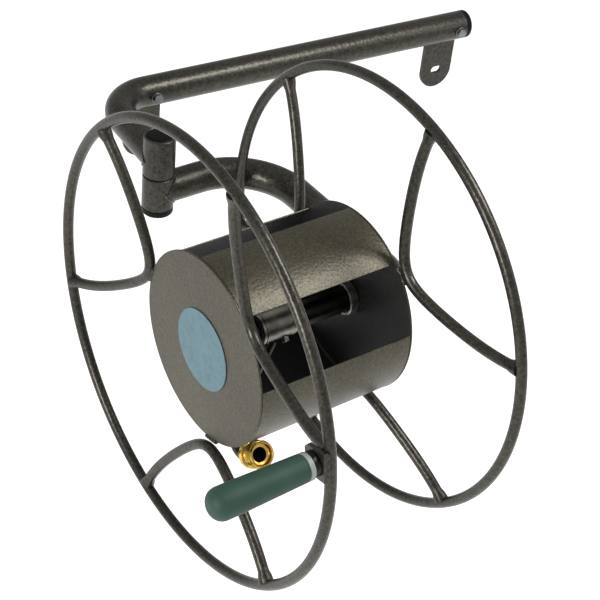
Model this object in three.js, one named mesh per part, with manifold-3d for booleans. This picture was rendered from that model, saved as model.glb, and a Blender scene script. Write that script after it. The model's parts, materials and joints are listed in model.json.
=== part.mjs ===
// Wall-mounted swinging garden hose reel, in millimetres.
//
// Frame: +X along the wall tube, +Y into the wall, +Z up. The origin is on the wall plane, at the
// middle of the left wall tab and level with the swing arm.
// The swing arm and the reel sit in a group that turns about the vertical pivot, and the reel's own
// pieces are modelled looking at its front face: x to the right, y up, z out of the front.

import * as THREE from 'three';
import { mergeVertices } from 'three/addons/utils/BufferGeometryUtils.js';
import Module from 'manifold-3d';

const wasm = await Module();
wasm.setup();

// Driving dimensions
const FIT = 0.3; // gap between pieces that touch or are welded together
const STUD_SPACING = 406.4; // 16 inches between wall studs
const TUBE_R = 16.7; // 1 inch pipe
const TUBE_WALL = 2.8;
const SWING_AT_REST = THREE.MathUtils.degToRad(4.3);

// Wall bracket
const TAB = { width: 44, thickness: 4, top: 41, bottom: -54.75 };
const SLOT = { z: -31, width: 15, height: 9.4 };
const WALL_TUBE = { y: -(TAB.thickness + FIT + TUBE_R), z: 38, right: 417.5, bend: 45 };
const TAB_X = [0, STUD_SPACING];
const BOLT = { shankR: 3, clearR: 3.4, acrossFlats: 10.5, headHeight: 4.4, faceR: 6.4, faceHeight: 1.1 };
const END_CAP = { flange: 7.2, plug: 6.5, plugR: 13.4 };

// Vertical pivot
const PIVOT = { x: -52, y: WALL_TUBE.y - 125.2 };
const SLEEVE_BORE_R = 13.8;
const UPPER_SLEEVE = { bottom: 21, top: 66 };
const LOWER_SLEEVE = { bottom: -18.5, top: 19.6 };
const PIN = { bottom: -10.5, shoulderR: 13.5, stemR: 10, top: 61 };
const BUSH = { boreR: 10.3, height: 12 };

// Swing arm, from the pivot: out along +X, towards the user, then back along -X behind the drum.
// Its end plate holds the spindle a little above the tube, so that the rims clear the arm.
const ARM = { reach: 124.9, bend: 74, lastBend: 32, end: 88.9 };
const END_PLATE = { thickness: 4, margin: 0.8 };
const REEL_AXIS = { y: -251, z: 11.4 };

// Reel
const RIM_R = 216.4;
const RIM_SEGMENTS = 48;
const ROD_R = 5.2;
const RIM_SPACING = 201.4;
const DRUM_R = 92.8;
const DISC = { inset: 17.7, thickness: 2 };
const LABEL_R = 39.5;
const FRONT_RIM_X = -122.7; // of the front rim's plane, from the pivot
const SPOKES = { count: 3, first: 45, halfSpread: 30, frontDish: 18.6, rearDish: 15.4 };
const LOW_SPOKE = { dish: 14, rootExtra: 2, spreadExtra: -0.5 }; // the lowest front spoke
const SLATS = { count: 4, first: 76.5, halfAngle: 23.5, thickness: 1.5 };
const SPINDLE = { r: 13.35, boreR: 10.4, front: 24 };
const COLLAR = { outerR: 17, boreR: 13.8 };
const SWIVEL = { front: 75, rear: 112.5, outerR: 15.6, boreR: 13.7 };
const SET_SCREW = { depth: 100.3, angle: -44, acrossFlats: 7, height: 5 };

// Crank handle, on the front rim
const HANDLE = { radius: 208, angle: 12.4 };
const PLATE = { radial: 26, along: 27, thickness: 4.2, corner: 4 };
const GRIP = { length: 87, innerR: 12.05, outerR: 13.8, boreR: 4.6 };
const RING = { thickness: 5 };
const STUD = { r: 4.2, shoulderR: 11.2, shoulder: 5.2 };

// Water way
const OUTLET = { depth: 42.6, radius: 108.9, angle: -49.65, fitting: 24, pipeR: 8.6, elbow: 12 };
const INLET = { y: -192, pipeR: 8.6, drop: 62 };

// Finishes
const finish = (name, color, roughness, metalness) =>
  new THREE.MeshStandardMaterial({ name, color, roughness, metalness });
const HAMMERTONE = finish('hammertone', 0x4b473f, 0.5, 0.5);
const DRUM_DARK = finish('drum_sheet', 0x4d4a43, 0.5, 0.5);
const BLACK_PLASTIC = finish('black_plastic', 0x0d0d0d, 0.45, 0);
const ZINC = finish('zinc', 0xb9bcc0, 0.3, 0.9);
const BRASS = finish('brass', 0xc09a3a, 0.3, 0.9);
const PLATED = finish('plated_steel', 0x8d8b86, 0.35, 0.8);
const GREEN = finish('green_grip', 0x2c5a49, 0.6, 0);
const NYLON = finish('nylon', 0xc6d2c8, 0.5, 0);
const RUBBER = finish('rubber', 0x161616, 0.8, 0);
const LABEL = finish('label_blue', 0x5b97ab, 0.4, 0);
const BLACK_STEEL = finish('black_steel', 0x1d1c1b, 0.45, 0.5);

// Geometry helpers

const radians = THREE.MathUtils.degToRad;

function polar(radius, degrees) {
  return new THREE.Vector2(radius * Math.cos(radians(degrees)), radius * Math.sin(radians(degrees)));
}

function circlePoints(radius, sides) {
  const step = 360 / sides;
  return Array.from({ length: sides }, (_, i) => polar(radius, (i + 0.5) * step));
}

function ringShape(outerR, boreR, sides) {
  const shape = new THREE.Shape(circlePoints(outerR, sides));
  if (boreR > 0) {
    shape.holes.push(new THREE.Path(circlePoints(boreR, sides).reverse()));
  }
  return shape;
}

// A path with a set list of points and directions, so that a sweep has steps only where it bends.
class BentPath extends THREE.Curve {
  constructor(corners, bendRadii, bendSteps) {
    super();
    this.points = [];
    this.directions = [];
    this.add(corners[0], corners[1].clone().sub(corners[0]).normalize());
    for (let i = 1; i < corners.length - 1; i += 1) {
      this.addBend(corners[i - 1], corners[i], corners[i + 1], bendRadii[i - 1], bendSteps);
    }
    const last = corners.length - 1;
    this.add(corners[last], corners[last].clone().sub(corners[last - 1]).normalize());
    this.steps = this.points.length - 1;
  }

  add(point, direction) {
    this.points.push(point.clone());
    this.directions.push(direction.clone());
  }

  addBend(before, corner, after, radius, steps) {
    const inward = corner.clone().sub(before).normalize();
    const outward = after.clone().sub(corner).normalize();
    const turn = inward.angleTo(outward);
    const axis = inward.clone().cross(outward).normalize();
    const start = corner.clone().addScaledVector(inward, -radius * Math.tan(turn / 2));
    const centre = start.clone().addScaledVector(axis.clone().cross(inward), radius);
    const arm = start.clone().sub(centre);
    for (let i = 0; i <= steps; i += 1) {
      const angle = (turn * i) / steps;
      this.add(
        centre.clone().add(arm.clone().applyAxisAngle(axis, angle)),
        inward.clone().applyAxisAngle(axis, angle),
      );
    }
  }

  getPoint(t, target = new THREE.Vector3()) {
    return target.copy(this.points[Math.round(t * this.steps)]);
  }

  getTangent(t, target = new THREE.Vector3()) {
    return target.copy(this.directions[Math.round(t * this.steps)]);
  }

  getPointAt(u, target) {
    return this.getPoint(u, target);
  }

  getTangentAt(u, target) {
    return this.getTangent(u, target);
  }
}

function sweep(shape, path, steps) {
  return new THREE.ExtrudeGeometry(shape, { steps, extrudePath: path, bevelEnabled: false });
}

function bentTube(corners, bendRadii, bendSteps, outerR, boreR, sides) {
  const path = new BentPath(corners, bendRadii, bendSteps);
  return sweep(ringShape(outerR, boreR, sides), path, path.steps);
}

function plate(shape, thickness) {
  return new THREE.ExtrudeGeometry(shape, { depth: thickness, bevelEnabled: false, curveSegments: 6 });
}

// A turned piece: [radius, height] points, with its axis along +Z.
function turned(profile, sides) {
  const points = profile.map(([radius, height]) => new THREE.Vector2(radius, height));
  return new THREE.LatheGeometry(points, sides).rotateX(Math.PI / 2);
}

function tubeLength(outerR, boreR, low, high, sides) {
  const profile = [[boreR, low], [outerR, low], [outerR, high], [boreR, high], [boreR, low]];
  return turned(profile, sides);
}

function rod(radius, low, high, sides) {
  return turned([[0, low], [radius, low], [radius, high], [0, high]], sides);
}

function hexPrism(acrossFlats, low, high) {
  return rod(acrossFlats / Math.sqrt(3), low, high, 6);
}

function toSolid(geometry) {
  const bare = geometry.clone();
  bare.deleteAttribute('normal');
  bare.deleteAttribute('uv');
  const merged = mergeVertices(bare, 1e-4);
  return new wasm.Manifold(new wasm.Mesh({
    numProp: 3,
    vertProperties: new Float32Array(merged.attributes.position.array),
    triVerts: new Uint32Array(merged.index.array),
  }));
}

function toGeometry(solid) {
  const mesh = solid.getMesh();
  const geometry = new THREE.BufferGeometry();
  geometry.setAttribute('position', new THREE.BufferAttribute(mesh.vertProperties.slice(), 3));
  geometry.setIndex(new THREE.BufferAttribute(mesh.triVerts.slice(), 1));
  geometry.computeVertexNormals();
  return geometry;
}

function cut(geometry, ...tools) {
  return toGeometry(tools.reduce((left, tool) => left.subtract(toSolid(tool)), toSolid(geometry)));
}

function join(geometry, ...others) {
  return toGeometry(others.reduce((sum, other) => sum.add(toSolid(other)), toSolid(geometry)));
}

function piece(parent, name, geometry, material) {
  const mesh = new THREE.Mesh(geometry, material);
  mesh.name = name;
  parent.add(mesh);
  return mesh;
}

const model = new THREE.Group();
const swing = new THREE.Group();
swing.position.set(PIVOT.x, PIVOT.y, 0);
swing.rotation.z = SWING_AT_REST;
model.add(swing);

const reel = new THREE.Group();
reel.position.set(FRONT_RIM_X, REEL_AXIS.y, REEL_AXIS.z);
reel.quaternion.setFromRotationMatrix(new THREE.Matrix4().makeBasis(
  new THREE.Vector3(0, -1, 0),
  new THREE.Vector3(0, 0, 1),
  new THREE.Vector3(-1, 0, 0),
));
swing.add(reel);

// Wall bracket

function bracketTube() {
  const corners = [
    new THREE.Vector3(PIVOT.x, PIVOT.y, WALL_TUBE.z),
    new THREE.Vector3(PIVOT.x, WALL_TUBE.y, WALL_TUBE.z),
    new THREE.Vector3(WALL_TUBE.right, WALL_TUBE.y, WALL_TUBE.z),
  ];
  const tube = bentTube(corners, [WALL_TUBE.bend], 6, TUBE_R, TUBE_R - TUBE_WALL, 16);
  const sleeveRoom = rod(TUBE_R + FIT, -10, 100, 28).translate(PIVOT.x, PIVOT.y, 0);
  const holes = TAB_X.map((x) => rod(BOLT.clearR, -25, 25, 12).rotateX(Math.PI / 2)
    .translate(x, WALL_TUBE.y, WALL_TUBE.z));
  return cut(tube, sleeveRoom, ...holes);
}

// The tab is welded behind the tube. Its top edge has a notch for the bolt, and its foot a screw slot.
function wallTab(x) {
  const half = TAB.width / 2;
  const notch = BOLT.clearR;
  const shape = new THREE.Shape();
  shape.moveTo(-half, TAB.bottom + half);
  shape.absarc(0, TAB.bottom + half, half, Math.PI, 2 * Math.PI);
  shape.lineTo(half, TAB.top);
  shape.lineTo(notch, TAB.top);
  shape.lineTo(notch, WALL_TUBE.z);
  shape.absarc(0, WALL_TUBE.z, notch, 0, Math.PI, true);
  shape.lineTo(-notch, TAB.top);
  shape.lineTo(-half, TAB.top);
  const slot = new THREE.Path();
  const slotR = SLOT.height / 2;
  const reach = SLOT.width / 2 - slotR;
  slot.absarc(reach, SLOT.z, slotR, -Math.PI / 2, Math.PI / 2);
  slot.absarc(-reach, SLOT.z, slotR, Math.PI / 2, (3 * Math.PI) / 2);
  shape.holes.push(slot);
  return plate(shape, TAB.thickness).rotateX(Math.PI / 2).translate(x, 0, 0);
}

function tabBolt(x) {
  const head = hexPrism(BOLT.acrossFlats, BOLT.faceHeight, BOLT.faceHeight + BOLT.headHeight);
  const face = rod(BOLT.faceR, 0, BOLT.faceHeight + 0.1, 18);
  const front = WALL_TUBE.y - TUBE_R - FIT;
  const shank = rod(BOLT.shankR, front + 1, 0.1, 12);
  return join(head, face, shank).rotateX(Math.PI / 2).translate(x, front, WALL_TUBE.z);
}

// A plastic plug with a flange as wide as the tube, its plug pointing along -Z from the tube's mouth.
function tubeCap() {
  return turned([
    [0, -END_CAP.plug],
    [END_CAP.plugR - 0.8, -END_CAP.plug],
    [END_CAP.plugR, -END_CAP.plug + 2],
    [END_CAP.plugR, FIT],
    [TUBE_R - 0.1, FIT],
    [TUBE_R - 0.1, END_CAP.flange - 1.4],
    [TUBE_R - 1.6, END_CAP.flange],
    [0, END_CAP.flange + 0.6],
  ], 24);
}

piece(model, 'wall_tube', bracketTube(), HAMMERTONE);
['wall_tab_left', 'wall_tab_right'].forEach((name, i) => piece(model, name, wallTab(TAB_X[i]), HAMMERTONE));
['tab_bolt_left', 'tab_bolt_right'].forEach((name, i) => piece(model, name, tabBolt(TAB_X[i]), ZINC));
piece(model, 'wall_tube_end_cap', tubeCap().rotateY(Math.PI / 2), BLACK_PLASTIC)
  .position.set(WALL_TUBE.right, WALL_TUBE.y, WALL_TUBE.z);

// Vertical pivot: the pin is welded into the arm's sleeve and turns in two bushes in the bracket's

function sleeveTopPlug() {
  return turned([
    [0, UPPER_SLEEVE.top - 4.5],
    [SLEEVE_BORE_R - FIT, UPPER_SLEEVE.top - 4.5],
    [SLEEVE_BORE_R - FIT, UPPER_SLEEVE.top - 0.6],
    [SLEEVE_BORE_R - 1.4, UPPER_SLEEVE.top],
    [0, UPPER_SLEEVE.top + 0.4],
  ], 24);
}

function pivotPin() {
  return turned([
    [0, PIN.bottom],
    [PIN.shoulderR, PIN.bottom],
    [PIN.shoulderR, LOWER_SLEEVE.top],
    [PIN.stemR, LOWER_SLEEVE.top],
    [PIN.stemR, PIN.top - 1],
    [PIN.stemR - 1, PIN.top],
    [0, PIN.top],
  ], 24);
}

const bushOuterR = SLEEVE_BORE_R - FIT;
const washerLow = LOWER_SLEEVE.top + FIT;
const washerHigh = UPPER_SLEEVE.bottom - FIT;
const topBushHigh = 54;
const nutLow = topBushHigh + FIT;

function bush(low) {
  return tubeLength(bushOuterR, BUSH.boreR, low, low + BUSH.height, 24);
}

const pivotFixed = new THREE.Group();
pivotFixed.position.set(PIVOT.x, PIVOT.y, 0);
model.add(pivotFixed);
piece(pivotFixed, 'bracket_sleeve',
  tubeLength(TUBE_R, SLEEVE_BORE_R, UPPER_SLEEVE.bottom, UPPER_SLEEVE.top, 28), HAMMERTONE);
piece(pivotFixed, 'pivot_bush_lower', bush(UPPER_SLEEVE.bottom + 0.5), NYLON);
piece(pivotFixed, 'pivot_bush_upper', bush(topBushHigh - BUSH.height), NYLON);
piece(pivotFixed, 'sleeve_top_plug', sleeveTopPlug(), BLACK_PLASTIC);

piece(swing, 'arm_sleeve',
  tubeLength(TUBE_R, SLEEVE_BORE_R, LOWER_SLEEVE.bottom, LOWER_SLEEVE.top, 28), HAMMERTONE);
piece(swing, 'pivot_pin', pivotPin(), ZINC);
const washer = tubeLength(TUBE_R - 0.8, PIN.stemR + FIT, washerLow, washerHigh, 24);
piece(swing, 'pivot_washer', washer, BLACK_PLASTIC);
piece(swing, 'pivot_nut', cut(hexPrism(23, nutLow, nutLow + 5.5), rod(PIN.stemR + 0.2, 0, 100, 24)), ZINC);
piece(swing, 'sleeve_bottom_cap', tubeCap().rotateX(Math.PI), BLACK_PLASTIC)
  .position.set(0, 0, LOWER_SLEEVE.bottom);

// Swing arm

const at = (x, y, z = 0) => new THREE.Vector3(x, y, z);

function armTube() {
  const corners = [at(0, 0), at(ARM.reach, 0), at(ARM.reach, REEL_AXIS.y), at(ARM.end, REEL_AXIS.y)];
  const tube = bentTube(corners, [ARM.bend, ARM.lastBend], 6, TUBE_R, TUBE_R - TUBE_WALL, 16);
  return cut(tube, rod(TUBE_R + FIT, -40, 40, 28));
}

// The end plate is as wide as the tube and tall enough for the tube below and the spindle above.
function endPlate() {
  const radius = TUBE_R + END_PLATE.margin;
  const shape = new THREE.Shape();
  shape.moveTo(radius, 0);
  shape.lineTo(radius, REEL_AXIS.z);
  shape.absarc(0, REEL_AXIS.z, radius, 0, Math.PI);
  shape.lineTo(-radius, 0);
  shape.absarc(0, 0, radius, Math.PI, 2 * Math.PI);
  shape.holes.push(new THREE.Path(circlePoints(9, 16).map((p) => p.add(new THREE.Vector2(0, 4)))));
  return plate(shape, END_PLATE.thickness);
}

const spindleRear = ARM.end - END_PLATE.thickness - 2 * FIT - FRONT_RIM_X;

function inletPipe() {
  const bore = INLET.pipeR - 2.4;
  const lip = INLET.pipeR + 3.4;
  const pipe = turned([
    [bore, 0], [INLET.pipeR, 0], [INLET.pipeR, INLET.drop - 4], [lip, INLET.drop - 4], [lip, INLET.drop],
    [bore, INLET.drop], [bore, 0],
  ], 20);
  return cut(pipe, rod(TUBE_R + FIT, -60, 60, 20).rotateX(Math.PI / 2)).rotateX(Math.PI);
}

function inletCoupling() {
  const low = INLET.drop - 4 - 5.5;
  const knurled = turned([
    [INLET.pipeR + 0.5, low],
    [14.5, low],
    [16, low + 2],
    [16, low + 19],
    [15, low + 21],
    [12.9, low + 21],
    [12.9, low + 5.1],
    [INLET.pipeR + 0.5, low + 5.1],
    [INLET.pipeR + 0.5, low],
  ], 20);
  return knurled.rotateX(Math.PI);
}

piece(swing, 'arm_tube', armTube(), HAMMERTONE);
piece(swing, 'spindle_end_plate', endPlate().rotateX(Math.PI / 2).rotateZ(Math.PI / 2), HAMMERTONE)
  .position.set(ARM.end - END_PLATE.thickness - FIT, REEL_AXIS.y, 0);
piece(swing, 'inlet_pipe', inletPipe(), PLATED).position.set(ARM.reach, INLET.y, 0);
piece(swing, 'inlet_coupling', inletCoupling(), BRASS).position.set(ARM.reach, INLET.y, 0);
const spindle = tubeLength(SPINDLE.r, SPINDLE.boreR, -spindleRear, -SPINDLE.front, 24);
piece(reel, 'spindle_pipe', spindle, BLACK_STEEL);

// Reel frames: two rod rims, each with bent rod spokes welded to the edge of its drum disc

const rimWelds = RIM_R - ROD_R - 2 * FIT;
const spokeRoot = DRUM_R + ROD_R + FIT;

// The ring's segments put one of its corners behind the end of each spoke.
function rim() {
  return new THREE.TorusGeometry(RIM_R, ROD_R, 8, RIM_SEGMENTS);
}

// A spoke is one curve, out from the rim, round the drum disc's edge and back out to the rim.
class SpokeCurve extends THREE.Curve {
  constructor(centreAngle, dish, rootExtra, spreadExtra) {
    super();
    this.centreAngle = centreAngle + spreadExtra;
    this.halfSpread = SPOKES.halfSpread + spreadExtra;
    this.dish = dish;
    this.root = spokeRoot + rootExtra;
    this.limit = Math.acos((RIM_R - rimWelds) / (RIM_R - this.root));
  }

  getPoint(t, target = new THREE.Vector3()) {
    const phase = (2 * t - 1) * this.limit;
    const radius = RIM_R - (RIM_R - this.root) * Math.cos(phase);
    const flat = polar(radius, this.centreAngle + this.halfSpread * Math.sin(phase));
    return target.set(flat.x, flat.y, this.dish * Math.cos(phase));
  }
}

function spoke(index, dish, rootExtra = 0, spreadExtra = 0) {
  const centre = SPOKES.first + (index * 360) / SPOKES.count;
  return sweep(ringShape(ROD_R, 0, 8), new SpokeCurve(centre, dish, rootExtra, spreadExtra), 18);
}

function reelFrame(side, plane, spokes) {
  piece(reel, `${side}_rim`, rim(), HAMMERTONE).position.z = plane;
  spokes.forEach((geometry, i) => {
    piece(reel, `${side}_spoke_${i + 1}`, geometry, HAMMERTONE).position.z = plane;
  });
}

reelFrame('front', 0, [
  spoke(0, -SPOKES.frontDish),
  spoke(1, -SPOKES.frontDish),
  spoke(2, -LOW_SPOKE.dish, LOW_SPOKE.rootExtra, LOW_SPOKE.spreadExtra),
]);
reelFrame('rear', -RIM_SPACING, [0, 1, 2].map((i) => spoke(i, SPOKES.rearDish)));

// Drum

const frontDiscInner = -(DISC.inset + DISC.thickness);
const rearDiscInner = -(RIM_SPACING - DISC.inset - DISC.thickness);

function slat(index) {
  const centre = SLATS.first + (index * 360) / SLATS.count;
  const steps = 8;
  const arc = (radius) => Array.from({ length: steps + 1 }, (_, i) => polar(
    radius, centre - SLATS.halfAngle + (2 * SLATS.halfAngle * i) / steps,
  ));
  const outer = arc(DRUM_R - 0.2);
  const inner = arc(DRUM_R - 0.2 - SLATS.thickness).reverse();
  const length = frontDiscInner - rearDiscInner - 2 * FIT;
  return plate(new THREE.Shape([...outer, ...inner]), length).translate(0, 0, rearDiscInner + FIT);
}

piece(reel, 'front_disc', plate(ringShape(DRUM_R, 0, 40), DISC.thickness), HAMMERTONE)
  .position.z = frontDiscInner;
piece(reel, 'rear_disc', plate(ringShape(DRUM_R, COLLAR.boreR, 40), DISC.thickness), HAMMERTONE)
  .position.z = rearDiscInner - DISC.thickness;
for (let i = 0; i < SLATS.count; i += 1) {
  piece(reel, `drum_slat_${i + 1}`, slat(i), DRUM_DARK);
}
piece(reel, 'front_bearing',
  tubeLength(COLLAR.outerR, COLLAR.boreR, frontDiscInner - 14, frontDiscInner - FIT, 24), PLATED);
piece(reel, 'rear_bearing',
  tubeLength(COLLAR.outerR, COLLAR.boreR, rearDiscInner + FIT, rearDiscInner + 10, 24), PLATED);
piece(reel, 'front_label', rod(LABEL_R, 0, 0.6, 32), LABEL).position.z = -DISC.inset + FIT;

// Swivel joint on the spindle, and the outlet that leaves between two slats

function swivelBody() {
  return turned([
    [SWIVEL.boreR, -SWIVEL.rear],
    [SWIVEL.outerR, -SWIVEL.rear],
    [SWIVEL.outerR, -SWIVEL.rear + 4],
    [SWIVEL.outerR - 0.9, -SWIVEL.rear + 5],
    [SWIVEL.outerR - 0.9, -SWIVEL.front - 7],
    [SWIVEL.outerR, -SWIVEL.front - 6],
    [SWIVEL.outerR, -SWIVEL.front],
    [SWIVEL.boreR, -SWIVEL.front],
    [SWIVEL.boreR, -SWIVEL.rear],
  ], 24);
}

function sealRing(low, thickness) {
  return tubeLength(SWIVEL.outerR - 0.6, SWIVEL.boreR, low, low + thickness, 24);
}

function outletPipe() {
  const mouth = polar(OUTLET.radius, OUTLET.angle);
  const outward = polar(1, OUTLET.angle - 3.5).rotateAround(new THREE.Vector2(), Math.PI / 2);
  const start = mouth.clone().addScaledVector(outward, -OUTLET.fitting - FIT);
  const corner = mouth.clone().addScaledVector(outward, -44);
  const foot = polar(66, -72);
  const port = polar(SWIVEL.outerR - 4, -72);
  const corners = [
    new THREE.Vector3(port.x, port.y, -88),
    new THREE.Vector3(foot.x, foot.y, -OUTLET.depth),
    new THREE.Vector3(corner.x, corner.y, -OUTLET.depth),
    new THREE.Vector3(start.x, start.y, -OUTLET.depth),
  ];
  const pipe = bentTube(corners, [OUTLET.elbow * 2, OUTLET.elbow], 4, OUTLET.pipeR, OUTLET.pipeR - 2, 10);
  return cut(pipe, rod(SWIVEL.outerR + FIT, -160, 0, 24));
}

// A male hose thread: its mouth at z = 0, its threads and collar behind.
function outletFitting() {
  const ridges = [0, 1, 2].flatMap((i) => [
    [13.4, -2.2 - i * 3.4], [13.4, -3.6 - i * 3.4], [12.4, -4.4 - i * 3.4], [12.4, -4.8 - i * 3.4],
  ]);
  return turned([
    [7.2, -OUTLET.fitting], [7.2, -5], [10.6, 0], [12.6, 0], ...ridges,
    [11.2, -13], [11.2, -15], [13.8, -15.6], [13.8, -20.6], [11.4, -21.6], [11.4, -OUTLET.fitting],
    [7.2, -OUTLET.fitting],
  ].reverse(), 16);
}

const fitting = piece(reel, 'outlet_fitting', outletFitting(), BRASS);
const mouth = polar(OUTLET.radius, OUTLET.angle);
fitting.position.set(mouth.x, mouth.y, -OUTLET.depth);
fitting.quaternion.setFromUnitVectors(
  new THREE.Vector3(0, 0, 1),
  new THREE.Vector3(-Math.sin(radians(OUTLET.angle - 3.5)), Math.cos(radians(OUTLET.angle - 3.5)), 0),
);
piece(reel, 'swivel_body', swivelBody(), PLATED);
const screwFoot = polar(SWIVEL.outerR - 0.9 + FIT, SET_SCREW.angle);
const screwHead = hexPrism(SET_SCREW.acrossFlats, 0, SET_SCREW.height).rotateY(Math.PI / 2);
piece(reel, 'swivel_set_screw', screwHead.rotateZ(radians(SET_SCREW.angle)), ZINC)
  .position.set(screwFoot.x, screwFoot.y, -SET_SCREW.depth);
piece(reel, 'swivel_seal_front', sealRing(-SWIVEL.front + FIT, 3), RUBBER);
piece(reel, 'swivel_seal_rear', sealRing(-SWIVEL.rear - 3 - FIT, 3), RUBBER);
piece(reel, 'outlet_pipe', outletPipe(), BLACK_STEEL);

// Crank handle

const handle = new THREE.Group();
const handleCentre = polar(HANDLE.radius, HANDLE.angle);
handle.position.set(handleCentre.x, handleCentre.y, 0);
handle.rotation.z = radians(HANDLE.angle);
reel.add(handle);

function handlePlate() {
  const { radial, along, corner } = PLATE;
  const shape = new THREE.Shape();
  const right = radial / 2;
  const top = along / 2;
  shape.moveTo(-right + corner, -top);
  shape.lineTo(right, -top);
  shape.lineTo(right, top);
  shape.lineTo(-right + corner, top);
  shape.lineTo(-right, top - corner);
  shape.lineTo(-right, -top + corner);
  shape.holes.push(new THREE.Path(circlePoints(STUD.r + FIT, 16)));
  return plate(shape, PLATE.thickness);
}

const plateBack = ROD_R + FIT;
const plateFront = plateBack + PLATE.thickness;
const shoulderEnd = plateFront + FIT + STUD.shoulder;
const ringBack = shoulderEnd + FIT;
const gripBack = ringBack + RING.thickness + FIT;
const gripTip = gripBack + GRIP.length;

function gripStud() {
  return turned([
    [0, plateBack], [STUD.r, plateBack], [STUD.r, plateFront + FIT], [STUD.shoulderR, plateFront + FIT],
    [STUD.shoulderR, shoulderEnd], [STUD.r, shoulderEnd], [STUD.r, gripTip - 16], [0, gripTip - 15],
  ], 16);
}

function grip() {
  const tipRound = 11;
  const round = Array.from({ length: 5 }, (_, i) => {
    const angle = radians(18 * (i + 1));
    return [
      GRIP.outerR - tipRound + tipRound * Math.cos(angle),
      gripTip - tipRound + tipRound * Math.sin(angle),
    ];
  });
  return turned([
    [0, gripTip - 12], [GRIP.boreR, gripTip - 13], [GRIP.boreR, gripBack], [GRIP.innerR, gripBack],
    [GRIP.outerR, gripTip - tipRound - 14], [GRIP.outerR, gripTip - tipRound], ...round, [0, gripTip],
  ], 24);
}

piece(handle, 'handle_plate', handlePlate(), HAMMERTONE).position.z = plateBack;
piece(handle, 'handle_stud', gripStud(), BLACK_STEEL);
piece(handle, 'grip_ring',
  tubeLength(GRIP.innerR, GRIP.boreR, ringBack, ringBack + RING.thickness, 24), NYLON);
piece(handle, 'grip', grip(), GREEN);

export default model;
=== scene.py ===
"""Looks for the wall-mounted swinging hose reel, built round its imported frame."""

import json
import math

import bmesh
import bpy
from mathutils import Matrix, Vector, noise


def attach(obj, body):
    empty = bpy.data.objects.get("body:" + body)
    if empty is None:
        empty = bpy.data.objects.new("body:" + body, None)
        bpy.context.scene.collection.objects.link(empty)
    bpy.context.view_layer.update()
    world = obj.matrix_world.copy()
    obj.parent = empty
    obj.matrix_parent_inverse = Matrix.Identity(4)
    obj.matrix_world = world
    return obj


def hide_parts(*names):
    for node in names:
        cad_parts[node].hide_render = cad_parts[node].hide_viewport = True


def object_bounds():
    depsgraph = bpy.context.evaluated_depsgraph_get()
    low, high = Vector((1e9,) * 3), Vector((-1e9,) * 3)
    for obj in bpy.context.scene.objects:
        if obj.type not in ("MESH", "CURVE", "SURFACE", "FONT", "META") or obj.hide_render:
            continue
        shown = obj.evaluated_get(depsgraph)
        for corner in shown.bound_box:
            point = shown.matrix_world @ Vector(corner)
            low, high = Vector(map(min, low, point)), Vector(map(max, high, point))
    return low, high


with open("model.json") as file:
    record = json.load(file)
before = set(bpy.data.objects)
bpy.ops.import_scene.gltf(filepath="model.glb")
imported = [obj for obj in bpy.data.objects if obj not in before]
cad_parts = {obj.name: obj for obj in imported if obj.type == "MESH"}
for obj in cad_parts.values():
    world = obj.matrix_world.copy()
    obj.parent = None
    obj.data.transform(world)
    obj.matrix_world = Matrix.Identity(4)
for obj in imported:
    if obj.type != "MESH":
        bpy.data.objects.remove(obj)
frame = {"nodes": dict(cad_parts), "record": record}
cad_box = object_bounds()

# Sizes in metres, as in the CAD
TUBE_R = 0.0167
TAB = {"width": 0.044, "thickness": 0.004, "top": 0.041, "bottom": -0.05475}
SLOT = {"z": -0.031, "width": 0.015, "height": 0.0094}
TAB_X = (0.0, 0.4064)
WALL_TUBE = {"y": -0.021, "z": 0.038, "right": 0.4175, "bend": 0.045}
BOLT = {"flats": 0.0105, "head": 0.0044, "face_r": 0.0064, "face": 0.0011}
END_CAP = {"flange": 0.0072, "plug": 0.0065, "plug_r": 0.0134}
UPPER_SLEEVE = (0.021, 0.066)
LOWER_SLEEVE = (-0.0185, 0.0196)
SLEEVE_BORE_R = 0.0138
ARM = {"reach": 0.1249, "bend": 0.074, "last_bend": 0.032, "end": 0.0889}
REEL_AXIS = {"y": -0.251, "z": 0.0114, "front_rim": 0.1227}
RIM_R = 0.2164
ROD_R = 0.0052
RIM_SPACING = 0.2014
DRUM_R = 0.0928
DISC = {"inset": 0.0177, "thickness": 0.002}
LABEL_R = 0.0395
END_PLATE = {"thickness": 0.004, "margin": 0.0008, "bore_r": 0.009}
SPOKES = {"count": 3, "first": 45, "half_spread": 30, "front_dish": -0.0186, "rear_dish": 0.0154}
LOW_SPOKE = {"dish": -0.014, "root": 0.002, "spread": -0.5, "turn": -0.5}
SLATS = {"count": 4, "first": 76.5, "half_angle": 23.5, "thickness": 0.0015}
LABEL_THICKNESS = 0.0006
BEARINGS = {"front": 0.014, "rear": 0.010}
SPINDLE = {"r": 0.01335, "bore_r": 0.0104, "front": 0.024}
COLLAR = {"outer_r": 0.017, "bore_r": 0.0138}
SWIVEL = {"front": 0.075, "rear": 0.1125, "outer_r": 0.0156, "bore_r": 0.0137, "seal": 0.003}
SET_SCREW = {"depth": 0.1003, "angle": -44, "flats": 0.007, "height": 0.005}
HANDLE = {"radius": 0.208, "angle": 12.4}
PLATE = {"radial": 0.026, "along": 0.027, "thickness": 0.0042, "corner": 0.004}
GRIP = {"length": 0.087, "inner_r": 0.01205, "outer_r": 0.0138, "bore_r": 0.0046, "tip": 0.011}
STUD = {"r": 0.0042, "shoulder_r": 0.0112, "shoulder": 0.0052}
RING = 0.005
OUTLET = {"depth": 0.0426, "radius": 0.1089, "angle": -49.65, "fitting": 0.024, "pipe_r": 0.0086}
INLET = {"y": -0.192, "pipe_r": 0.0086, "wall": 0.0024, "top": 0.010, "drop": 0.062}
INLET_LIP = {"reach": 0.0034, "height": 0.004}
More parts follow.
